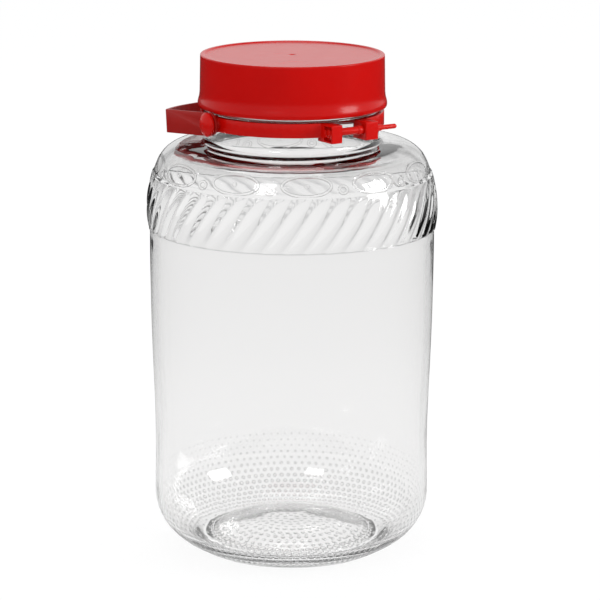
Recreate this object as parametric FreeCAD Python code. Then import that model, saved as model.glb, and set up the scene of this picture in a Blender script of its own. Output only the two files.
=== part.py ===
# Eight-litre glass pickling jar with a plastic screw lid, a split neck collar
# locked by a pin, and a flat strap handle that swings on the collar's studs.
# Millimetres, +Z up. The origin is the centre of the ring the jar stands on.
# The handle's pivot axis runs along X, and the collar's lugs face -Y.
import FreeCAD, Part
import math
import os

V = FreeCAD.Vector

# ---- glass jar: heights above the bearing ring, radii from the jar's axis ----
crease_height = 234.5        # where the plain wall ends under the fluted band
crease_r = 100.9
upper_wall_height = 147.0
upper_wall_taper = 1.2       # slimmer than at the crease by this much
waist_height = 78.0          # slimmest place of the side wall
waist_taper = 3.1
heel_height = 41.0           # rounded heel, a quarter of an ellipse
heel_taper = 2.7
heel_run = 47.2              # from the side wall in to the bearing ring
bearing_width = 5.0          # flat ring that the jar stands on
push_up = 18.0               # how far the middle of the base is domed inwards
wall = 4.2                   # glass thickness of the side wall
shoulder_wall = 4.6
neck_root_thickness = 7.1    # the shoulder is thickest where it meets the neck
base_thickness = 7.0
neck_wall = 4.5
inner_neck_round = 4.2

# fluted band round the shoulder
flute_count = 44
flute_relief = 1.7           # crest height above the valleys
flute_step = 0.6             # how far the valleys stand proud of the shoulder above
flute_swell = 2.3            # how far the crests bulge beyond the crease
flute_band_height = 39.0
flute_lean = 34.0            # degrees from upright
flute_levels = 7
flute_widest = 0.36          # share of the band's height where it bulges most
flute_fall = 4.1             # how far the crests fall back towards the top
flute_fade = 0.75            # how much shallower the flutes are at the band's ends

# shoulder: how far above the fluted band and how far in from the crease
shoulder_round_up = 15.0
shoulder_round_in = 10.4
shoulder_edge_up = 19.1
shoulder_edge_in = 16.4
neck_root_up = 22.4          # where the almost flat shoulder meets the neck

# neck and its finish
neck_r = 61.0
neck_root_round = 3.2
neck_length = 22.4           # bare neck, where the collar sits
finish_step = 1.3            # the finish above is this much wider
finish_height = 35.7
lip_round = 1.2

# ---- screw lid ----
lid_height = 36.5
lid_draft = 0.4              # the side is a little slimmer at the top
lid_wall = 2.6
lid_clearance = 0.3
lid_flare = 1.5              # bead round the open edge
lid_bead_height = 6.5
lid_top_thickness = 2.4
lid_dish = 0.9               # the top face lies this much under its rim
lid_rim_width = 2.6
lid_edge_round = 0.8

# ---- neck collar ----
collar_thickness = 3.7
collar_height = 9.8
collar_play = 0.3            # between the collar and the finish above it
collar_clearance = 0.05
left_lug_width = 8.6
right_lug_width = 10.2
lug_gap = 19.6               # open stretch of neck between the two lugs
lug_gap_shift = 0.8          # how far the gap's middle lies to the right
lug_reach = 15.0             # how far a lug stands out from the neck
lug_height = 12.4
lug_round = 0.8
pocket_depth = 2.4           # moulded pockets in the left lug's end
pocket_height = 2.4
pocket_rim = 1.2
stud_shoulder_r = 6.2
stud_neck_r = 4.0
stud_head_lap = 0.1          # the head reaches this far past the strap's edges
stud_head_rim = 2.0
stud_head_dome = 2.8

# ---- lock pin ----
pin_r = 2.6
pin_bead_r = 3.3
pin_bead_length = 4.5
pin_cone_length = 7.0
pin_tail_r = 1.7
pin_tail_length = 10.0
pin_chamfer = 0.6
pin_clearance = 0.1
pin_offset = 9.6             # from the neck's surface to the pin's axis
pin_drop = 5.5               # from the lugs' top to the pin's axis

# ---- strap handle ----
strap_thickness = 2.0
strap_width = 16.4
strap_play = 0.2             # each side of the strap between shoulder and head
strap_lid_gap = 0.5          # between the strap and the lid's bead
arm_length = 54.0
arm_splay = 2.3              # how much wider the bail is at its corners
lid_swing_gap = 4.2          # between the bowed grip and the lid's top edge in passing
strap_corner_r = 3.0
eye_clearance = 0.2
handle_droop = 5.2           # degrees below level, as the handle lies back

# ---- sizes that follow ----
heel_r = crease_r - heel_taper
waist_r = crease_r - waist_taper
upper_wall_r = crease_r - upper_wall_taper
bearing_outer_r = heel_r - heel_run
bearing_inner_r = bearing_outer_r - bearing_width
band_top = crease_height + flute_band_height
shoulder_start_r = crease_r + flute_swell - flute_fall - flute_relief * (1 - flute_fade) - flute_step
shoulder_round_r = crease_r - shoulder_round_in
shoulder_round_height = band_top + shoulder_round_up
shoulder_edge_r = crease_r - shoulder_edge_in
shoulder_edge_height = band_top + shoulder_edge_up
neck_root_height = band_top + neck_root_up
finish_bottom = neck_root_height + neck_length
finish_r = neck_r + finish_step
mouth_height = finish_bottom + finish_height
mouth_r = finish_r - neck_wall

lid_inner_r = finish_r + lid_clearance
lid_side_r = lid_inner_r + lid_wall
lid_bead_r = lid_side_r + lid_flare
lid_top = mouth_height + lid_top_thickness + lid_dish
lid_edge = lid_top - lid_height

collar_top = finish_bottom - collar_play
collar_bottom = collar_top - collar_height
collar_inner_r = neck_r + collar_clearance
collar_outer_r = neck_r + collar_thickness
lug_bottom = collar_top - lug_height
gap_left = lug_gap_shift - lug_gap / 2
gap_right = lug_gap_shift + lug_gap / 2
lugs_left = gap_left - left_lug_width
lugs_right = gap_right + right_lug_width
pin_height = collar_top - pin_drop
pin_y = -(neck_r + pin_offset)

pivot_height = collar_top - collar_height / 2
strap_inner_x = lid_bead_r + strap_lid_gap
strap_outer_x = strap_inner_x + strap_thickness
arm_lean = arm_splay / arm_length
stud_head_r = strap_width / 2 + stud_head_lap
lid_corner_reach = math.hypot(lid_side_r, lid_top - pivot_height)
grip_reach = lid_corner_reach + lid_swing_gap + strap_thickness
bow_rise = grip_reach - arm_length


# ---- building blocks ----
def line(a, b):
    return Part.LineSegment(V(a[0], 0, a[1]), V(b[0], 0, b[1])).toShape()


def lines(*points):
    return [line(a, b) for a, b in zip(points, points[1:])]


def arc(a, centre, radius, b):
    """Round corner from a to b, the short way about its centre."""
    across = V((a[0] + b[0]) / 2 - centre[0], 0, (a[1] + b[1]) / 2 - centre[1])
    across.normalize()
    middle = V(centre[0], 0, centre[1]) + across * radius
    return Part.Arc(V(a[0], 0, a[1]), middle, V(b[0], 0, b[1])).toShape()


def spline(points, start, end):
    """Smooth outline through (radius, height) points with its two end directions."""
    curve = Part.BSplineCurve()
    curve.interpolate([V(r, 0, z) for r, z in points],
                      InitialTangent=V(start[0], 0, start[1]), FinalTangent=V(end[0], 0, end[1]))
    return curve.toShape()


def heel(inner, outer):
    """Quarter of an ellipse that starts level at inner and ends upright at outer."""
    half = math.sqrt(0.5)
    middle = (inner[0] + (outer[0] - inner[0]) * half, outer[1] - (outer[1] - inner[1]) * half)
    return spline([inner, middle, outer], (1, 0), (0, 1))


def spun(edges, axis=V(0, 0, 1), through=V(0, 0, 0)):
    """Solid of revolution from a closed half outline in the XZ plane."""
    return Part.Face(Part.Wire(edges)).revolve(through, axis, 360)


def block(x0, x1, y0, y1, z0, z1):
    return Part.makeBox(x1 - x0, y1 - y0, z1 - z0, V(x0, y0, z0))


def rod_x(radius, x0, x1, y, z):
    return Part.makeCylinder(radius, x1 - x0, V(x0, y, z), V(1, 0, 0))


def save(shape, node):
    assert shape.isValid() and len(shape.Solids) == 1, node
    shape.Solids[0].exportStep("parts/" + node + ".step")
    print(node, "cm3", round(shape.Volume / 1000, 2))


# ---- glass jar ----
def lower_wall():
    """Base, rounded heel and plain side wall, up to the crease."""
    return spun([
        spline([(0, push_up), (bearing_inner_r, 0)], (1, 0), (1, -0.9)),
        line((bearing_inner_r, 0), (bearing_outer_r, 0)),
        heel((bearing_outer_r, 0), (heel_r, heel_height)),
        spline([(heel_r, heel_height), (waist_r, waist_height),
                (upper_wall_r, upper_wall_height), (crease_r, crease_height)], (0, 1), (0, 1)),
        line((crease_r, crease_height), (0, crease_height)),
        line((0, crease_height), (0, push_up)),
    ])


def flute_crest(t):
    """Radius over the crests, t from 0 at the crease to 1 at the band's top."""
    return crease_r + flute_swell - flute_fall * ((t - flute_widest) / (1 - flute_widest)) ** 2


def flute_depth(t):
    return flute_relief * (1 - flute_fade * (2 * t - 0.9) ** 2)


def fluted_band():
    """Spiral flutes: a loft through lobed rings, each turned a little further."""
    twist = math.degrees(flute_band_height * math.tan(math.radians(flute_lean)) / crease_r)
    rings = []
    for level in range(flute_levels):
        t = level / (flute_levels - 1)
        points = []
        for step in range(2 * flute_count):
            radius = flute_crest(t) - flute_depth(t) * (step % 2)
            angle = math.radians(180 * step / flute_count + twist * t)
            points.append(V(radius * math.cos(angle), radius * math.sin(angle),
                            crease_height + flute_band_height * t))
        ring = Part.BSplineCurve()
        ring.interpolate(points, PeriodicFlag=True)
        rings.append(Part.Wire(ring.toShape()))
    return Part.makeLoft(rings, True)


def shoulder_and_neck():
    root = (neck_r + neck_root_round, neck_root_height)
    neck_start = (neck_r, neck_root_height + neck_root_round)
    return spun([
        line((0, band_top), (shoulder_start_r, band_top)),
        spline([(shoulder_start_r, band_top), (shoulder_round_r, shoulder_round_height),
                (shoulder_edge_r, shoulder_edge_height), root], (-0.25, 1), (-1, 0.1)),
        arc(root, (root[0], neck_start[1]), neck_root_round, neck_start),
        *lines(neck_start, (neck_r, finish_bottom), (finish_r, finish_bottom),
               (finish_r, mouth_height - lip_round)),
        arc((finish_r, mouth_height - lip_round),
            (finish_r - lip_round, mouth_height - lip_round), lip_round,
            (finish_r - lip_round, mouth_height)),
        *lines((finish_r - lip_round, mouth_height), (0, mouth_height), (0, band_top)),
    ])


def jar_cavity():
    floor = push_up + base_thickness
    trough = (bearing_outer_r, base_thickness)
    under_shoulder = neck_root_height - neck_root_thickness
    corner = (mouth_r + inner_neck_round, under_shoulder)
    bore = (mouth_r, under_shoulder + inner_neck_round)
    above = mouth_height + 1
    return spun([
        spline([(0, floor), trough], (1, 0), (1, 0)),
        heel(trough, (heel_r - wall, heel_height)),
        spline([(heel_r - wall, heel_height), (waist_r - wall, waist_height),
                (upper_wall_r - wall, upper_wall_height), (crease_r - wall, crease_height),
                (shoulder_start_r - wall, band_top),
                (shoulder_round_r - 0.8 * shoulder_wall, shoulder_round_height - 0.7 * shoulder_wall),
                (shoulder_edge_r - 0.6 * shoulder_wall, shoulder_edge_height - shoulder_wall),
                corner], (0, 1), (-1, 0)),
        arc(corner, (corner[0], bore[1]), inner_neck_round, bore),
        *lines(bore, (mouth_r, above), (0, above), (0, floor)),
    ])


def glass_jar():
    return lower_wall().fuse([fluted_band(), shoulder_and_neck()]).cut(jar_cavity())


# ---- screw lid ----
def screw_lid():
    top_r = lid_side_r - lid_draft
    bead_foot = (lid_bead_r - 0.4, lid_edge)
    bead_top = (lid_side_r, lid_edge + lid_bead_height)
    rim_inner = top_r - lid_rim_width
    dish_z = lid_top - lid_dish
    return spun([
        *lines((0, mouth_height), (lid_inner_r, mouth_height), (lid_inner_r, lid_edge), bead_foot),
        spline([bead_foot, (lid_bead_r, lid_edge + 0.45 * lid_bead_height), bead_top],
               (0.3, 1), (0, 1)),
        line(bead_top, (top_r, lid_top - lid_edge_round)),
        arc((top_r, lid_top - lid_edge_round), (top_r - lid_edge_round, lid_top - lid_edge_round),
            lid_edge_round, (top_r - lid_edge_round, lid_top)),
        *lines((top_r - lid_edge_round, lid_top), (rim_inner, lid_top),
               (rim_inner - lid_dish, dish_z), (0, dish_z), (0, mouth_height)),
    ])


# ---- neck collar with its lugs and pivot studs ----
def collar_band():
    ring = spun(lines((collar_inner_r, collar_bottom), (collar_outer_r, collar_bottom),
                      (collar_outer_r, collar_top), (collar_inner_r, collar_top),
                      (collar_inner_r, collar_bottom)))
    split = block(gap_left - left_lug_width / 2, gap_right + right_lug_width / 2,
                  -2 * collar_outer_r, 0, collar_bottom - 1, collar_top + 1)
    return ring.cut(split)


def lug(left, right):
    """Box on the band's end, curved to the neck behind and bored for the pin."""
    body = block(left, right, -(neck_r + lug_reach), -neck_r * 0.9, lug_bottom, collar_top)
    front = [e for e in body.Edges
             if all(abs(v.Y + neck_r + lug_reach) < 0.01 for v in e.Vertexes)]
    body = body.makeFillet(lug_round, front)
    neck = Part.makeCylinder(collar_inner_r, lug_height + 2, V(0, 0, lug_bottom - 1))
    bore = rod_x(pin_r + pin_clearance, left - 1, right + 1, pin_y, pin_height)
    return body.cut([neck, bore])


def lug_pockets():
    """Moulded pockets above and below the pin in the left lug's outer end."""
    pockets = []
    for low in (lug_bottom + pocket_rim, collar_top - pocket_rim - pocket_height):
        pockets.append(block(lugs_left - 1, lugs_left + pocket_depth,
                             -(neck_r + lug_reach) + pocket_rim, -(collar_outer_r + pocket_rim),
                             low, low + pocket_height))
    return pockets


def pivot_stud():
    """Shoulder, neck and domed head on the +X side, which hold the strap's eye."""
    axis_z = pivot_height
    root_x = neck_r + 0.45 * collar_thickness
    seat_x = strap_inner_x - strap_play - arm_lean * stud_shoulder_r
    head_x = strap_outer_x + strap_play + arm_lean * stud_head_r
    rim_x = head_x + stud_head_rim
    crown_x = rim_x + stud_head_dome
    dome_r = (stud_head_r ** 2 + stud_head_dome ** 2) / (2 * stud_head_dome)
    outline = [(root_x, 0), (root_x, stud_shoulder_r), (seat_x, stud_shoulder_r),
               (seat_x, stud_neck_r), (head_x, stud_neck_r), (head_x, stud_head_r),
               (rim_x, stud_head_r)]
    outline = [(x, axis_z + radius) for x, radius in outline]
    crown = (crown_x, axis_z)
    return spun([*lines(*outline), arc(outline[-1], (crown_x - dome_r, axis_z), dome_r, crown),
                 line(crown, outline[0])], V(1, 0, 0), V(0, 0, axis_z))


def neck_collar():
    stud = pivot_stud()
    other_stud = stud.copy()
    other_stud.rotate(V(0, 0, 0), V(0, 0, 1), 180)
    band = collar_band().fuse([lug(lugs_left, gap_left), lug(gap_right, lugs_right),
                               stud, other_stud])
    return band.cut(lug_pockets()).removeSplitter()


# ---- lock pin ----
def lock_pin():
    """Shaft through both lugs, a bead before the right one and a barbed tail after it."""
    tip = lugs_right + pin_cone_length + pin_tail_length
    bead_left = gap_right - pin_bead_length
    outline = [(lugs_left, 0), (lugs_left, pin_r - pin_chamfer), (lugs_left + pin_chamfer, pin_r),
               (bead_left, pin_r), (bead_left + pin_chamfer, pin_bead_r),
               (gap_right, pin_bead_r), (gap_right, pin_r), (lugs_right, pin_r),
               (lugs_right, pin_bead_r), (lugs_right + pin_cone_length, pin_tail_r),
               (tip, pin_tail_r)]
    outline = [(x, pin_height + radius) for x, radius in outline]
    crown = (tip + pin_tail_r, pin_height)
    pin = spun([*lines(*outline), arc(outline[-1], (tip, pin_height), pin_tail_r, crown),
                line(crown, outline[0])], V(1, 0, 0), V(0, 0, pin_height))
    pin.translate(V(0, pin_y, 0))
    return pin


# ---- strap handle ----
def bail_plan(inset):
    """Plan of the bail within its outer face, or within that face moved in by inset."""
    tail = -strap_width / 2
    corner_y = arm_length - inset
    corner_x = strap_outer_x + arm_lean * corner_y - inset
    end_x = strap_outer_x + arm_lean * tail - inset
    end, corner = V(end_x, tail, 0), V(corner_x, corner_y, 0)
    other_corner, other_end = V(-corner_x, corner_y, 0), V(-end_x, tail, 0)
    bow = Part.Arc(corner, V(0, corner_y + bow_rise, 0), other_corner)
    sides = [Part.LineSegment(end, corner), bow, Part.LineSegment(other_corner, other_end),
             Part.LineSegment(other_end, end)]
    return Part.Face(Part.Wire([side.toShape() for side in sides]))


def strap_handle():
    """Bent strap with eyes on the studs, modelled level and then laid back."""
    low = pivot_height - strap_width / 2
    strap = bail_plan(0).cut(bail_plan(strap_thickness)).extrude(V(0, 0, strap_width))
    strap.translate(V(0, 0, low))
    corners = [e for e in strap.Edges if e.BoundBox.ZLength > strap_width / 2
               and e.CenterOfMass.y > arm_length / 2]
    strap = strap.makeFillet(strap_corner_r, corners)
    reach = strap_outer_x + arm_splay + 1
    square_ends = block(-reach, reach, -strap_width, 0, low, low + strap_width)
    square_ends = square_ends.cut(rod_x(strap_width / 2, -reach, reach, 0, pivot_height))
    eyes = rod_x(stud_neck_r + eye_clearance, -reach, reach, 0, pivot_height)
    strap = strap.cut([square_ends, eyes])
    strap.rotate(V(0, 0, pivot_height), V(1, 0, 0), -handle_droop)
    return strap


os.makedirs("parts", exist_ok=True)
save(glass_jar(), "glass_jar")
save(screw_lid(), "screw_lid")
save(neck_collar(), "neck_collar")
save(lock_pin(), "lock_pin")
save(strap_handle(), "strap_handle")
brim = jar_cavity().common(block(-200, 200, -200, 200, 0, mouth_height))
print("litres to the brim", round(brim.Volume / 1e6, 3))
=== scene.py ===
import math
import bpy
import numpy as np
from mathutils import Matrix, Vector


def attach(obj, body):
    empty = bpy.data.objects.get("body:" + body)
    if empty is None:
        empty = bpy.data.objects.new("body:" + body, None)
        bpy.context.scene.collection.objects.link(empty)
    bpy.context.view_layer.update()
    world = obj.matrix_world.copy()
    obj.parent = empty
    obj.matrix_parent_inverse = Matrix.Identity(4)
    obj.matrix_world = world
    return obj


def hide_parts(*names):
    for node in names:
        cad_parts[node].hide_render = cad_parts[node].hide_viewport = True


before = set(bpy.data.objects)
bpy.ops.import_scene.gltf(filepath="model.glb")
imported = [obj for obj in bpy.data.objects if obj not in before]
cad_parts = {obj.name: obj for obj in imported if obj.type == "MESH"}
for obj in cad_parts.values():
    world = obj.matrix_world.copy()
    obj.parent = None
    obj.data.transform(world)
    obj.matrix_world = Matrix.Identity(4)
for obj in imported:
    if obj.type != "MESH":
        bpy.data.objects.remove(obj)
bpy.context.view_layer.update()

# ---------------------------------------------------------------------------
# Studio: a pale floor that runs out to a white surround, soft lamps, and the
# camera a little above the jar, looking past the lug side of the collar.
# ---------------------------------------------------------------------------


class Value:
    """A socket of a node tree that takes part in plain arithmetic."""

    def __init__(self, tree, socket):
        self.tree, self.socket = tree, socket

    def step(self, operation, first, second):
        return self.tree.node("ShaderNodeMath", {"operation": operation}, {0: first, 1: second})

    def __add__(self, other):
        return self.step("ADD", self, other)

    def __radd__(self, other):
        return self.step("ADD", other, self)

    def __sub__(self, other):
        return self.step("SUBTRACT", self, other)

    def __rsub__(self, other):
        return self.step("SUBTRACT", other, self)

    def __mul__(self, other):
        return self.step("MULTIPLY", self, other)

    def __rmul__(self, other):
        return self.step("MULTIPLY", other, self)

    def __pow__(self, other):
        return self.step("POWER", self, other)


class Finish:
    """The node tree of a material, or of the studio's surround."""

    def __init__(self, owner):
        owner.use_nodes = True
        self.owner, self.nodes, self.links = owner, owner.node_tree.nodes, owner.node_tree.links
        self.nodes.clear()

    def node(self, kind, settings=None, sockets=None, out=0):
        """Adds a node: its settings first, then its sockets' values and links.

        A ramp's stops go from 0 to 1 in order, each with a grey or a colour.
        """
        made = self.nodes.new(kind)
        for key, value in (settings or {}).items():
            if key == "stops":
                ramp = made.color_ramp.elements
                for place, _ in value[1:-1]:
                    ramp.new(place)
                for stop, (place, tone) in zip(ramp, value):
                    stop.position, stop.color = place, (*np.broadcast_to(tone, 3), 1)
            else:
                setattr(made, key, value)
        for key, value in (sockets or {}).items():
            if isinstance(value, Value):
                self.links.new(value.socket, made.inputs[key])
            else:
                made.inputs[key].default_value = value
        return Value(self, made.outputs[out]) if made.outputs else made

    def rays(self):
        """Masks for rays from the camera, off glossy surfaces and through clear ones."""
        path = self.node("ShaderNodeLightPath").socket.node
        return [Value(self, path.outputs[name])
                for name in ("Is Camera Ray", "Is Glossy Ray", "Is Transmission Ray")]


camera_turn = math.radians(-33.5)      # round the jar, from straight in front of the lugs
camera_tilt = math.radians(13.182)     # looking down
camera_roll = math.radians(0.2)
aim_aside = math.radians(0.1635)       # the jar stands a little left of the middle
camera_away, camera_height = 2.0485, 0.6595
camera_data = bpy.data.cameras.new("camera")
camera_data.sensor_width, camera_data.lens = 36.0, 176.58
camera = bpy.data.objects.new("camera", camera_data)
camera_place = (camera_away * math.sin(camera_turn), -camera_away * math.cos(camera_turn), camera_height)
camera.matrix_world = (
    Matrix.Translation(camera_place)
    @ Matrix.Rotation(camera_turn - aim_aside, 4, "Z")
    @ Matrix.Rotation(math.pi / 2 - camera_tilt, 4, "X")
    @ Matrix.Rotation(camera_roll, 4, "Z"))
bpy.context.scene.collection.objects.link(camera)
bpy.context.scene.camera = camera
bpy.context.scene.view_settings.view_transform = "Standard"

# the surround: a pale light, white behind the jar, with greys by height where
# glossy surfaces mirror it and where it shows through the glass
surround = Finish(bpy.data.worlds.new("surround"))
bpy.context.scene.world = surround.owner
height = surround.node("ShaderNodeSeparateXYZ", {}, {
    0: surround.node("ShaderNodeTexCoord", out="Generated")}, out="Z")
overhead = surround.node("ShaderNodeValToRGB", {
    "stops": [(0.0, 1.0), (0.42, 1.0), (0.7, 0.5), (1.0, 0.45)]}, {0: height})
beyond = surround.node("ShaderNodeValToRGB", {
    "stops": [(0.0, 0.68), (0.12, 0.58), (0.45, 0.85), (1.0, 0.7)]}, {0: height})
is_camera, is_glossy, is_through = surround.rays()
lit = surround.node("ShaderNodeBackground", {}, {"Color": (0.95, 0.97, 1, 1), "Strength": 0.85})
mirrored = surround.node("ShaderNodeBackground", {}, {"Color": overhead, "Strength": 0.9})
plain = surround.node("ShaderNodeBackground", {}, {"Color": (1, 1, 1, 1), "Strength": 1.0})
bent = surround.node("ShaderNodeBackground", {}, {"Color": beyond, "Strength": 1.0})
shown = surround.node("ShaderNodeMixShader", {}, {0: is_glossy, 1: lit, 2: mirrored})
shown = surround.node("ShaderNodeMixShader", {}, {0: is_through, 1: shown, 2: bent})
shown = surround.node("ShaderNodeMixShader", {}, {0: is_camera, 1: shown, 2: plain})
surround.node("ShaderNodeOutputWorld", {}, {0: shown})

# the floor: white paper; in mirror images and where it shows through the glass it glows with a painted
# fall-off of light, dimmer with its distance from the jar, within a metre in mirror images and within ten
# metres where it shows through the glass
floor_reach, fall_off_reach = 14.0, 10.0
glow_share = 0.9                       # the rest takes light and the jar's shadow
floor_corners = [(x * floor_reach, y * floor_reach, 0) for x, y in ((-1, -1), (1, -1), (1, 1), (-1, 1))]
floor_mesh = bpy.data.meshes.new("floor")
floor_mesh.from_pydata(floor_corners, [], [(0, 1, 2, 3)])
floor = bpy.data.objects.new("floor", floor_mesh)
bpy.context.scene.collection.objects.link(floor)
paper = Finish(bpy.data.materials.new("white_paper"))
floor_mesh.materials.append(paper.owner)
is_camera, is_glossy, is_through = paper.rays()
distance = paper.node("ShaderNodeVectorMath", {"operation": "LENGTH"}, {
    0: paper.node("ShaderNodeTexCoord", out="Object")}, out="Value")
# painted light: the floor glows brightest near the jar and dimmer farther off, in mirror images and through
# the glass
painted_glow_mirrored = paper.node("ShaderNodeValToRGB", {
    "stops": [(0.0, 1.0), (0.25, 0.95), (0.65, 0.3), (1.0, 0.06)]}, {0: distance})
painted_glow_through = paper.node("ShaderNodeValToRGB", {
    "stops": [(0.0, 0.93), (0.1, 0.88), (0.3, 0.74), (1.0, (0.6, 0.6, 0.61))]}, {
        0: distance * (1 / fall_off_reach)})
sheet = paper.node("ShaderNodeBsdfDiffuse", {}, {0: (0.8, 0.8, 0.8, 1)})
glow = paper.node("ShaderNodeEmission", {}, {"Color": (1, 1, 1, 1), "Strength": 1.03})
mirror_image = paper.node("ShaderNodeEmission", {}, {"Color": painted_glow_mirrored, "Strength": 0.9})
seen_through = paper.node("ShaderNodeEmission", {}, {"Color": painted_glow_through, "Strength": 1.0})
bare = paper.node("ShaderNodeMixShader", {}, {0: is_camera * glow_share, 1: sheet, 2: glow})
bare = paper.node("ShaderNodeMixShader", {}, {0: is_through, 1: bare, 2: seen_through})
bare = paper.node("ShaderNodeMixShader", {}, {0: is_glossy * (1 - is_through), 1: bare, 2: mirror_image})
paper.node("ShaderNodeOutputMaterial", {}, {0: bare})

jar_middle = Vector((0, 0, 0.2))


def soft_lamp(name, place, width, power):
    """Square area lamp that faces the middle of the jar."""
    lamp_data = bpy.data.lights.new(name, "AREA")
    lamp_data.size, lamp_data.energy = width, power
    lamp = bpy.data.objects.new(name, lamp_data)
    lamp.location = place
    lamp.rotation_euler = (jar_middle - lamp.location).to_track_quat("-Z", "Y").to_euler()
    lamp.visible_camera = False
    bpy.context.scene.collection.objects.link(lamp)


soft_lamp("left_lamp", (-2.1, -1.3, 1.9), 0.8, 14)
soft_lamp("right_lamp", (1.7, -2.0, 1.1), 1.0, 36)
soft_lamp("top_lamp", (0.2, 0.6, 2.4), 1.2, 12)

# ---------------------------------------------------------------------------
# Glass jar: one thick piece of clear pressed glass. The mould leaves spiral
# flutes round the shoulder, raised ovals above them and dots over the heel.
# ---------------------------------------------------------------------------

# outside, from the push-up out and up: radii and heights, in metres
push_up, ring_inner_r, ring_outer_r = 0.0125, 0.061, 0.064
push_points = [(0, push_up), (0.030, 0.0112), (0.048, 0.0072), (ring_inner_r, 0)]
heel_start = [(ring_outer_r, 0.0), (0.067, 0.0009), (0.070, 0.0027)]
heel_bend_r, heel_bend_from = 0.051, 0.0735
heel_height, heel_r = 0.041, 0.0982
waist_height, waist_r = 0.078, 0.0978
wall_height, wall_r = 0.147, 0.0997
crease_height, crease_r = 0.2345, 0.1009
shoulder_start_r = 0.098075
shoulder_bend = [(0.0905, 0.2885), (0.0845, 0.2926)]
neck_r, neck_root_height, neck_root_round, neck_foot = 0.061, 0.2959, 0.0032, 0.3005
finish_r, finish_height, finish_round = 0.0623, 0.3183, 0.0003
mouth_height, lip_foot, lip_round = 0.354, 0.3515, 0.0012

# flutes: leaning round ribs with narrow grooves between them, on a band that
# swells out and falls back; the grooves fade both ways and run out at the top
flute_count, flute_columns, flute_levels = 44, 8, 36
band_height, flute_lean = 0.039, math.radians(34)
band_top = crease_height + band_height
twist = band_height * math.tan(flute_lean) / crease_r
band_swell, band_fall, band_widest = 0.0023, 0.0041, 0.36
groove_depth, groove_round, groove_deepest, groove_fade = 0.0019, 0.006, 0.45, 0.75
groove_run_out, groove_left = 0.06, 0.004

# thread of the finish, a ridge of nearly three turns
thread_depth, thread_width, thread_pitch = 0.0011, 0.0011, 0.0062
thread_start, thread_end = 0.3265, 0.3435
thread_foot, thread_top, thread_levels = 0.3226, 0.3505, 26

# inside, from the mouth down and in
glass_wall = 0.0042
mouth_r, mouth_edge = 0.0578, 0.0006
bore_top, bore_foot, bore_round = 0.352, 0.2930, 0.0042
inner_shoulder = [(0.0815, 0.2880), (0.08682, 0.28528), (0.093875, band_top)]
inner_heel = (0.064, 0.009)
inner_floor = [(0.064, 0.0095), (0.056, 0.0115), (0.046, 0.0155), (0.030, 0.0186), (0, 0.0198)]


def runs_along(line):
    """Distance of each point of a profile line from its start, along the line."""
    gaps = np.linalg.norm(np.diff(np.array(line, float), axis=0), axis=1)
    return np.concatenate([[0], np.cumsum(gaps)])


def smooth_line(points, start, end, count):
    """Evenly spaced points on a smooth line through the given ones, with its two end directions."""
    given = np.array(points, float)
    knots = runs_along(points)
    gaps = np.diff(knots)
    size = len(given)
    rows, sides = np.eye(size), np.zeros((size, 2))
    sides[0], sides[-1] = np.array(start) / np.linalg.norm(start), np.array(end) / np.linalg.norm(end)
    for i in range(1, size - 1):
        before, after = gaps[i - 1], gaps[i]
        rows[i, i - 1:i + 2] = after, 2 * (before + after), before
        sides[i] = 3 * (after * (given[i] - given[i - 1]) / before
                        + before * (given[i + 1] - given[i]) / after)
    slopes = np.linalg.solve(rows, sides)
    line = []
    for run in np.linspace(0, knots[-1], count):
        i = min(np.searchsorted(knots, run, "right") - 1, size - 2)
        h = gaps[i]
        u = (run - knots[i]) / h
        line.append((1 + 2 * u) * (1 - u) ** 2 * given[i] + u * (1 - u) ** 2 * h * slopes[i]
                    + u * u * (3 - 2 * u) * given[i + 1] + u * u * (u - 1) * h * slopes[i + 1])
    return [(float(r), float(z)) for r, z in line]


def straight(start, end, count):
    """Evenly spaced points on a straight line."""
    return [tuple(point) for point in np.linspace(start, end, count)]


def quarter(inner, outer, count):
    """Quarter of an ellipse, level at inner and upright at outer."""
    across, up = outer[0] - inner[0], outer[1] - inner[1]
    return [(inner[0] + across * math.sin(a), inner[1] + up * (1 - math.cos(a)))
            for a in np.linspace(0, math.pi / 2, count)]


def ring(radii, angles, z):
    """One level ring of points, each with its own radius."""
    return [(r * math.cos(a), r * math.sin(a), z) for r, a in zip(radii, angles)]


def turned(line, angles):
    """A ring for each point of a profile line, or a single point on the axis."""
    return [ring([r] * len(angles), angles, z) if r > 1e-6 else [(0, 0, z)] for r, z in line]


def spun_mesh(name, columns, rings):
    """Closed surface through rings of points, with a single point at each pole."""
    verts, faces, starts = [], [], []
    for points in rings:
        starts.append(len(verts))
        verts.extend(points)
    for (a, b), (ra, rb) in zip(zip(starts, starts[1:]), zip(rings, rings[1:])):
        for j in range(columns):
            k = (j + 1) % columns
            if len(ra) == 1:
                faces.append((a, b + k, b + j))
            elif len(rb) == 1:
                faces.append((a + j, a + k, b))
            else:
                faces.append((a + j, a + k, b + k, b + j))
    mesh = bpy.data.meshes.new(name)
    mesh.from_pydata(verts, [], faces)
    mesh.polygons.foreach_set("use_smooth", [True] * len(mesh.polygons))
    mesh.update()
    piece = bpy.data.objects.new(name, mesh)
    bpy.context.scene.collection.objects.link(piece)
    return piece


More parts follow.
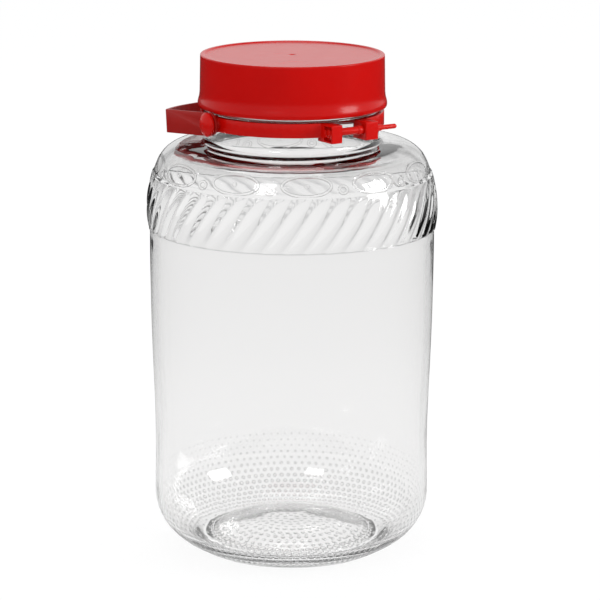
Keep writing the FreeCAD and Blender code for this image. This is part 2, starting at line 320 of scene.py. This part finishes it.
push_line = smooth_line(push_points, (1, 0), (0.8, -1), 22)
standing_ring = [(ring_inner_r - 0.0002, 0.0001), (ring_inner_r + 0.0004, 0), (ring_outer_r - 0.0004, 0)]
heel_line = heel_start + [point for point in quarter((heel_bend_r, 0), (heel_r, heel_height), 40)
                          if point[0] > heel_bend_from]
side_line = smooth_line([(heel_r, heel_height), (waist_r, waist_height), (wall_r, wall_height),
                         (crease_r, crease_height)], (0, 1), (0, 1), 26)
crease_edge = [(crease_r, crease_height - 0.0003), (crease_r + 0.00005, crease_height - 0.0001)]
band_edge = [(shoulder_start_r + 0.0001, band_top + 0.00015)]
shoulder_line = smooth_line([(shoulder_start_r, band_top)] + shoulder_bend
                            + [(neck_r + neck_root_round, neck_root_height)], (-0.25, 1), (-1, 0.1), 24)
neck_line = (quarter((neck_r + neck_root_round, neck_root_height),
                     (neck_r, neck_root_height + neck_root_round), 8)
             + straight((neck_r, neck_foot), (neck_r, finish_height - finish_round), 5)
             + [(neck_r + 0.0001, finish_height - 0.00005), (finish_r - 0.0002, finish_height),
                (finish_r, finish_height + finish_round), (finish_r, finish_height + 0.0035)])
lip_line = [(finish_r - 0.0002, lip_foot)] + quarter(
    (finish_r - lip_round, mouth_height), (finish_r, mouth_height - lip_round), 6)[::-1]
bore_end = (mouth_r + bore_round, bore_foot - bore_round)
inner_line = ([(mouth_r + mouth_edge, mouth_height), (mouth_r, mouth_height - mouth_edge)]
              + straight((mouth_r, bore_top), (mouth_r, bore_foot), 8)
              + quarter(bore_end, (mouth_r, bore_foot), 8)[::-1][1:]
              + smooth_line([bore_end] + inner_shoulder
                            + [(crease_r - glass_wall, crease_height), (wall_r - glass_wall, wall_height),
                               (waist_r - glass_wall, waist_height), (heel_r - glass_wall, heel_height)],
                            (1, 0), (0, -1), 42)[1:]
              + quarter(inner_heel, (heel_r - glass_wall, heel_height), 20)[::-1][1:]
              + smooth_line(inner_floor, (-1, 0), (-1, 0), 22)[1:])

columns = flute_count * flute_columns
around = np.arange(columns) * 2 * math.pi / columns
rings = turned(push_line[:-1] + standing_ring + heel_line[1:] + side_line[1:-1] + crease_edge, around)
groove = 1 - np.sqrt(np.cos(around * flute_count / 2) ** 2 + groove_round) / math.sqrt(1 + groove_round)
for level in np.linspace(0, 1, flute_levels):
    crest = crease_r + band_swell - band_fall * ((level - band_widest) / (1 - band_widest)) ** 2
    depth = (groove_depth * (1 - groove_fade * abs(2 * (level - groove_deepest)) ** 4)
             * min(1, (1 + groove_left - level) / groove_run_out))
    rings.append(ring(crest - depth * groove, around + twist * level, crease_height + band_height * level))
rings += turned(band_edge + shoulder_line[1:] + neck_line[1:], around + twist)
for z in np.linspace(thread_foot, thread_top, thread_levels):
    ridge = np.zeros(columns)
    for lap in range(3):
        middle = thread_start + thread_pitch * (around / (2 * math.pi) + lap)
        ridge = np.maximum(ridge, np.exp(-((z - middle) / thread_width) ** 2) * (middle < thread_end))
    rings.append(ring(finish_r - thread_depth * (1 - ridge), around + twist, z))
rings += turned(lip_line + inner_line, around + twist)
glass_jar = spun_mesh("jar_glass", columns, rings)

clear = Finish(bpy.data.materials.new("clear_pressed_glass"))
where = clear.node("ShaderNodeTexCoord", out="Object")
ripple = clear.node("ShaderNodeTexNoise", {}, {
    "Vector": where, "Scale": 26.0, "Detail": 2.0, "Roughness": 0.4})
drawn = clear.node("ShaderNodeMapping", {}, {"Vector": where, "Scale": (60.0, 60.0, 4.0)})
streak = clear.node("ShaderNodeTexNoise", {}, {"Vector": drawn, "Scale": 1.0, "Detail": 1.0})
relief = clear.node("ShaderNodeBump", {}, {
    "Strength": 0.25, "Distance": 0.0012, "Height": ripple * 0.6 + streak * 0.4})
haze = clear.node("ShaderNodeTexNoise", {}, {"Vector": where, "Scale": 90.0, "Detail": 4.0})
glass = clear.node("ShaderNodeBsdfPrincipled", {}, {
    "Base Color": (0.992, 0.99, 0.989, 1), "Roughness": haze ** 4.0 * 0.05, "IOR": 1.5,
    "Transmission Weight": 1.0, "Normal": relief})
tint = clear.node("ShaderNodeVolumeAbsorption", {}, {"Color": (0.82, 0.83, 0.82, 1), "Density": 6.0})
clear.node("ShaderNodeOutputMaterial", {}, {0: glass, 1: tint})
glass_jar.data.materials.append(clear.owner)
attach(glass_jar, "jar")
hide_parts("glass_jar")


class Pattern(Finish):
    """A geometry node tree with named inputs for its sizes."""

    def __init__(self, name, inputs):
        tree = bpy.data.node_groups.new(name, "GeometryNodeTree")
        self.owner, self.nodes, self.links = tree, tree.nodes, tree.links
        tree.interface.new_socket("Geometry", in_out="INPUT", socket_type="NodeSocketGeometry")
        tree.interface.new_socket("Geometry", in_out="OUTPUT", socket_type="NodeSocketGeometry")
        self.names = {}
        for label, kind in inputs.items():
            self.names[label] = tree.interface.new_socket(
                label, in_out="INPUT", socket_type="NodeSocket" + kind).identifier
        self.entry = tree.nodes.new("NodeGroupInput")

    def given(self, label):
        return Value(self, self.entry.outputs[label])

    def vector(self, x, y=0.0, z=0.0):
        return self.node("ShaderNodeCombineXYZ", {}, {0: x, 1: y, 2: z})

    def joined(self, first, second):
        both = self.node("GeometryNodeJoinGeometry", {}, {0: first})
        self.links.new(second.socket, both.socket.node.inputs[0])
        return both

    def result(self, geometry, name, base, values, material):
        """Ends the tree, runs it on the base mesh and keeps the outcome as a plain piece."""
        real = self.node("GeometryNodeRealizeInstances", {}, {0: geometry})
        smooth = self.node("GeometryNodeSetShadeSmooth", {}, {0: real})
        painted = self.node("GeometryNodeSetMaterial", {}, {0: smooth, "Material": material})
        self.node("NodeGroupOutput", {}, {0: painted})
        maker = bpy.data.objects.new(name + "_maker", base)
        bpy.context.scene.collection.objects.link(maker)
        modifier = maker.modifiers.new("pattern", "NODES")
        modifier.node_group = self.owner
        for label, value in values.items():
            modifier[self.names[label]] = value
        bpy.context.view_layer.update()
        graph = bpy.context.evaluated_depsgraph_get()
        mesh = bpy.data.meshes.new_from_object(maker.evaluated_get(graph), depsgraph=graph)
        bpy.data.objects.remove(maker)
        piece = bpy.data.objects.new(name, mesh)
        bpy.context.scene.collection.objects.link(piece)
        return piece


def place_at(line, run):
    """Radius, height and outward direction at a distance along a profile line."""
    points, runs = np.array(line), runs_along(line)
    r, z = (np.interp(run, runs, points[:, i]) for i in (0, 1))
    i = min(max(np.searchsorted(runs, run, "right") - 1, 0), len(points) - 2)
    along = (points[i + 1] - points[i]) / np.linalg.norm(points[i + 1] - points[i])
    return r, z, along[1], -along[0]


# dots: rings of low domes over the heel, smaller towards their top, and under
# the push-up, larger at its edge; their flat undersides clear the glass by a hair
dot_r, dot_height, dot_underside = 0.00145, 0.0002, 0.03
dot_pitch, dot_row_pitch = 0.0054, 0.0054 * 0.866
dots_from, dots_top, dots_fade, least_dot = 0.009, 0.063, 0.042, 0.4
ring_dots, inner_ring_dots, inner_ring_r = 112, 80, 0.072
push_dots_from, push_dots_r, push_dots_turn = dot_pitch * 0.9, 0.058, 0.37
edge_dots_r, edge_dot = 0.05, 1.7
spots, outs, sizes = [], [], []


def ring_of_dots(place, count, turn, size):
    """Marks the places of one ring of dots, turned by a part of their spacing."""
    r, z, out_r, out_z = place
    for j in range(count):
        a = 2 * math.pi * (j + turn) / count
        spots.append((r * math.cos(a), r * math.sin(a), z))
        outs.append((out_r * math.cos(a), out_r * math.sin(a), out_z))
        sizes.append(size)


dotted_line = heel_line + [point for point in side_line if point[1] < dots_top][1:]
for row, run in enumerate(np.arange(dots_from, runs_along(dotted_line)[-1], dot_row_pitch)):
    place = place_at(dotted_line, run)
    ring_of_dots(place, ring_dots if place[0] > inner_ring_r else inner_ring_dots, 0.5 * (row % 2),
                 min(1.0, max(least_dot, (dots_top - place[1]) / dots_fade)))
for row, run in enumerate(np.arange(push_dots_from, runs_along(push_line)[-1], dot_pitch)):
    place = place_at(push_line, run)
    if place[0] < push_dots_r:
        ring_of_dots(place, max(6, round(2 * math.pi * place[0] / dot_pitch)), push_dots_turn * row,
                     edge_dot if place[0] > edge_dots_r else 1.0)
spread = bpy.data.meshes.new("dot_places")
spread.from_pydata(spots, [], [])
outward = spread.attributes.new("outward", "FLOAT_VECTOR", "POINT")
outward.data.foreach_set("vector", np.array(outs).ravel())
spread.attributes.new("size", "FLOAT", "POINT").data.foreach_set("value", sizes)
stipple = Pattern("moulded_dots", {"Dot Radius": "Float", "Dot Height": "Float", "Underside": "Float"})
dome = stipple.node("GeometryNodeMeshUVSphere", {}, {"Segments": 8, "Rings": 4, "Radius": 1.0})
dome = stipple.node("GeometryNodeSetPosition", {}, {0: dome, "Position": stipple.node(
    "ShaderNodeVectorMath", {"operation": "MAXIMUM"}, {
        0: stipple.node("GeometryNodeInputPosition"),
        1: stipple.vector(-9.0, -9.0, stipple.given("Underside"))})})      # cuts off only what is lower
dome = stipple.node("GeometryNodeTransform", {}, {0: dome, "Scale": stipple.vector(
    stipple.given("Dot Radius"), stipple.given("Dot Radius"), stipple.given("Dot Height"))})
facing = stipple.node("GeometryNodeInputNamedAttribute", {"data_type": "FLOAT_VECTOR"}, {"Name": "outward"})
amount = stipple.node("GeometryNodeInputNamedAttribute", {"data_type": "FLOAT"}, {"Name": "size"})
scattered = stipple.node("GeometryNodeInstanceOnPoints", {}, {
    "Points": stipple.given("Geometry"), "Instance": dome,
    "Rotation": stipple.node("FunctionNodeAlignRotationToVector", {"axis": "Z"}, {"Vector": facing}),
    "Scale": stipple.vector(amount, amount, amount)})
dots = stipple.result(scattered, "jar_dots", spread, {
    "Dot Radius": dot_r, "Dot Height": dot_height, "Underside": dot_underside}, clear.owner)
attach(dots, "jar")

# ovals: a frieze of raised ovals with a bead in each and a drop between them,
# made as a flat strip and then bent round the shoulder; the drop's place and
# size are parts of the oval's
oval_count, oval_half_width, oval_half_height, oval_ridge = 12, 0.0165, 0.007, 0.001
bead_r, bead_height = 0.0017, 0.0008
drop_low, drop_half_width, drop_half_height = -0.45, 0.17, 0.36
frieze_r, frieze_up, frieze_turn = 0.093, 0.0075, math.radians(-117.5)
oval_relief, oval_clear = 0.12, 0.00003


def wrap(piece, line, middle_r, turn):
    """Bends a flat strip round the jar: x runs round it, y up the profile line and z outwards."""
    for vertex in piece.data.vertices:
        x, y, z = vertex.co
        r, up, out_r, out_up = place_at(line, y)
        r, up = r + z * out_r, up + z * out_up
        a = x / middle_r + turn
        vertex.co = (r * math.cos(a), r * math.sin(a), up)
    piece.data.update()


frieze = Pattern("shoulder_frieze", {
    "Ovals": "Int", "Spacing": "Float", "Half Width": "Float", "Half Height": "Float", "Ridge": "Float",
    "Bead Radius": "Float", "Bead Height": "Float"})
ridge_shape = frieze.node("GeometryNodeCurvePrimitiveCircle", {}, {
    "Resolution": 8, "Radius": frieze.given("Ridge")})
oval = frieze.node("GeometryNodeCurvePrimitiveCircle", {}, {"Resolution": 40, "Radius": 1.0})
oval = frieze.node("GeometryNodeTransform", {}, {
    0: oval, "Scale": frieze.vector(frieze.given("Half Width"), frieze.given("Half Height"), 1.0)})
drop = frieze.node("GeometryNodeCurvePrimitiveCircle", {}, {"Resolution": 20, "Radius": 1.0})
drop = frieze.node("GeometryNodeTransform", {}, {
    0: drop,
    "Translation": frieze.vector(frieze.given("Spacing") * 0.5, frieze.given("Half Height") * drop_low),
    "Scale": frieze.vector(frieze.given("Half Width") * drop_half_width,
                           frieze.given("Half Height") * drop_half_height, 1.0)})
tubes = frieze.node("GeometryNodeCurveToMesh", {}, {
    "Curve": frieze.joined(oval, drop), "Profile Curve": ridge_shape})
bead = frieze.node("GeometryNodeMeshUVSphere", {}, {"Segments": 14, "Rings": 8, "Radius": 1.0})
bead = frieze.node("GeometryNodeTransform", {}, {0: bead, "Scale": frieze.vector(
    frieze.given("Bead Radius"), frieze.given("Bead Radius"), frieze.given("Bead Height"))})
strip = frieze.node("GeometryNodeMeshLine", {}, {
    "Count": frieze.given("Ovals"), "Offset": frieze.vector(frieze.given("Spacing"))})
repeated = frieze.node("GeometryNodeInstanceOnPoints", {}, {
    "Points": strip, "Instance": frieze.joined(tubes, bead)})
ovals = frieze.result(repeated, "jar_ovals", bpy.data.meshes.new("frieze_base"), {
    "Ovals": oval_count, "Spacing": 2 * math.pi * frieze_r / oval_count, "Half Width": oval_half_width,
    "Half Height": oval_half_height, "Ridge": oval_ridge, "Bead Radius": bead_r,
    "Bead Height": bead_height}, clear.owner)
for vertex in ovals.data.vertices:
    vertex.co.y += frieze_up
    vertex.co.z = max(vertex.co.z * oval_relief, oval_clear)
wrap(ovals, shoulder_line, frieze_r, frieze_turn)
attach(ovals, "jar")

# ---------------------------------------------------------------------------
# Neck collar: a split band of red plastic clamped round the bare neck, with
# two lugs for the lock pin and a round stud each side for the handle.
# ---------------------------------------------------------------------------
collar_edge_round = 0.00035


def from_frame(node, name, edge_round):
    """Merged copy of a frame node with its hard edges rounded off."""
    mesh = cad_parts[node].data.copy()
    mesh.name = name
    mesh.materials.clear()
    piece = bpy.data.objects.new(name, mesh)
    bpy.context.scene.collection.objects.link(piece)
    for kind, settings in (("WELD", {"merge_threshold": 2e-6}),
                           ("DECIMATE", {"decimate_type": "DISSOLVE", "angle_limit": math.radians(0.4)}),
                           ("BEVEL", {"width": edge_round, "segments": 2, "limit_method": "ANGLE",
                                      "angle_limit": math.radians(38), "harden_normals": True})):
        modifier = piece.modifiers.new(kind, kind)
        for key, value in settings.items():
            setattr(modifier, key, value)
    mesh.polygons.foreach_set("use_smooth", [True] * len(mesh.polygons))
    graph = bpy.context.evaluated_depsgraph_get()
    finished = bpy.data.meshes.new_from_object(piece.evaluated_get(graph), depsgraph=graph)
    piece.modifiers.clear()
    piece.data = finished
    return piece


def red_plastic(name, deep, bright, gloss, grain):
    """Moulded polyethylene: faint flow clouds in the colour and a fine skin over it."""
    skin = Finish(bpy.data.materials.new(name))
    where = skin.node("ShaderNodeTexCoord", out="Object")
    clouds = skin.node("ShaderNodeTexNoise", {}, {
        "Vector": where, "Scale": 38.0, "Detail": 5.0, "Roughness": 0.6})
    peel = skin.node("ShaderNodeTexNoise", {}, {"Vector": where, "Scale": 1400.0, "Detail": 2.0})
    brushed = skin.node("ShaderNodeMapping", {}, {"Vector": where, "Scale": (90.0, 90.0, 900.0)})
    scuffs = skin.node("ShaderNodeTexNoise", {}, {"Vector": brushed, "Scale": 1.0, "Detail": 3.0})
    colour = skin.node("ShaderNodeMix", {"data_type": "RGBA"}, {
        0: clouds, 6: (*deep, 1), 7: (*bright, 1)}, out=2)
    relief = skin.node("ShaderNodeBump", {}, {
        "Strength": grain, "Distance": 0.0002, "Height": peel + scuffs * 0.8})
    body = skin.node("ShaderNodeBsdfPrincipled", {}, {
        "Base Color": colour, "Roughness": gloss + scuffs * 0.05, "IOR": 1.5, "Specular IOR Level": 0.18,
        "Normal": relief})
    skin.node("ShaderNodeOutputMaterial", {}, {0: body})
    return skin.owner


collar = from_frame("neck_collar", "collar_band", collar_edge_round)
collar_plastic = red_plastic("collar_red", (0.47, 0.0015, 0.0005), (0.54, 0.003, 0.001), 0.22, 0.15)
collar.data.materials.append(collar_plastic)
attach(collar, "jar")
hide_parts("neck_collar")

# ---------------------------------------------------------------------------
# Strap handle: a flat band of red plastic bent round the back of the neck,
# with an eye at each end that snaps over the collar's stud.
# ---------------------------------------------------------------------------
strap_edge_round = 0.0004
strap = from_frame("strap_handle", "handle_strap", strap_edge_round)
strap_plastic = red_plastic("handle_red", (0.27, 0.003, 0.0015), (0.34, 0.005, 0.003), 0.36, 0.35)
strap.data.materials.append(strap_plastic)
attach(strap, "handle")
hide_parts("strap_handle")

# ---------------------------------------------------------------------------
# Lock pin: a red plastic pin pushed through both lugs, with a barbed head
# past the right lug and a thin tail to pull it by.
# ---------------------------------------------------------------------------
pin_edge_round = 0.0003
pin = from_frame("lock_pin", "lug_pin", pin_edge_round)
pin_plastic = red_plastic("pin_red", (0.48, 0.003, 0.001), (0.56, 0.005, 0.002), 0.24, 0.2)
pin.data.materials.append(pin_plastic)
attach(pin, "jar")
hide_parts("lock_pin")

# ---------------------------------------------------------------------------
# Screw lid: a deep cap of glossy red plastic with a beaded open edge, a
# narrow rim round its shallow dished top and the mark of the mould's gate.
# ---------------------------------------------------------------------------
lid_edge, lid_top, lid_dish = 0.3208, 0.3573, 0.3564
lid_side_r, lid_bead_r, lid_top_r, lid_inner_r = 0.0652, 0.0667, 0.0648, 0.0626
lid_corner, lid_side_top, lid_flare = 0.0008, 0.3563, 0.0125
gate_r, gate_depth, dish_r, rim_r = 0.0015, 0.0003, 0.0608, 0.0623
lid_columns = 288
lid_line = (
    [(0.0, lid_dish - gate_depth), (gate_r - 0.0003, lid_dish - gate_depth), (gate_r, lid_dish)]
    + straight((0.004, lid_dish), (dish_r, lid_dish), 14)
    + [(dish_r + 0.00035, lid_dish + 0.0001), (rim_r - 0.0003, lid_top - 0.0001), (rim_r, lid_top)]
    + quarter((lid_top_r - lid_corner, lid_top), (lid_top_r, lid_top - lid_corner), 7)
    + straight((lid_top_r, lid_side_top), (lid_side_r, lid_edge + lid_flare), 14)[1:]
    + smooth_line([(lid_side_r, lid_edge + lid_flare), (lid_side_r + 0.0006, lid_edge + 0.0065),
                   (lid_bead_r, lid_edge + 0.0024), (lid_bead_r - 0.0004, lid_edge + 0.0002)],
                  (0.02, -1), (-0.6, -1), 20)[1:]
    + [(lid_bead_r - 0.0008, lid_edge), (lid_inner_r + 0.0004, lid_edge), (lid_inner_r, lid_edge + 0.0004)]
    + straight((lid_inner_r, lid_edge + 0.001), (lid_inner_r, mouth_height - 0.0006), 20)
    + [(lid_inner_r - 0.0003, mouth_height - 0.0001), (lid_inner_r - 0.001, mouth_height)]
    + straight((0.06, mouth_height), (0.004, mouth_height), 12) + [(0.0, mouth_height)])
lid_around = np.arange(lid_columns) * 2 * math.pi / lid_columns
lid = spun_mesh("lid_cap", lid_columns, turned(lid_line[::-1], lid_around))
lid_plastic = red_plastic("lid_red", (0.43, 0.0009, 0.0002), (0.49, 0.0015, 0.0004), 0.18, 0.02)
lid.data.materials.append(lid_plastic)
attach(lid, "jar")
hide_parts("screw_lid")
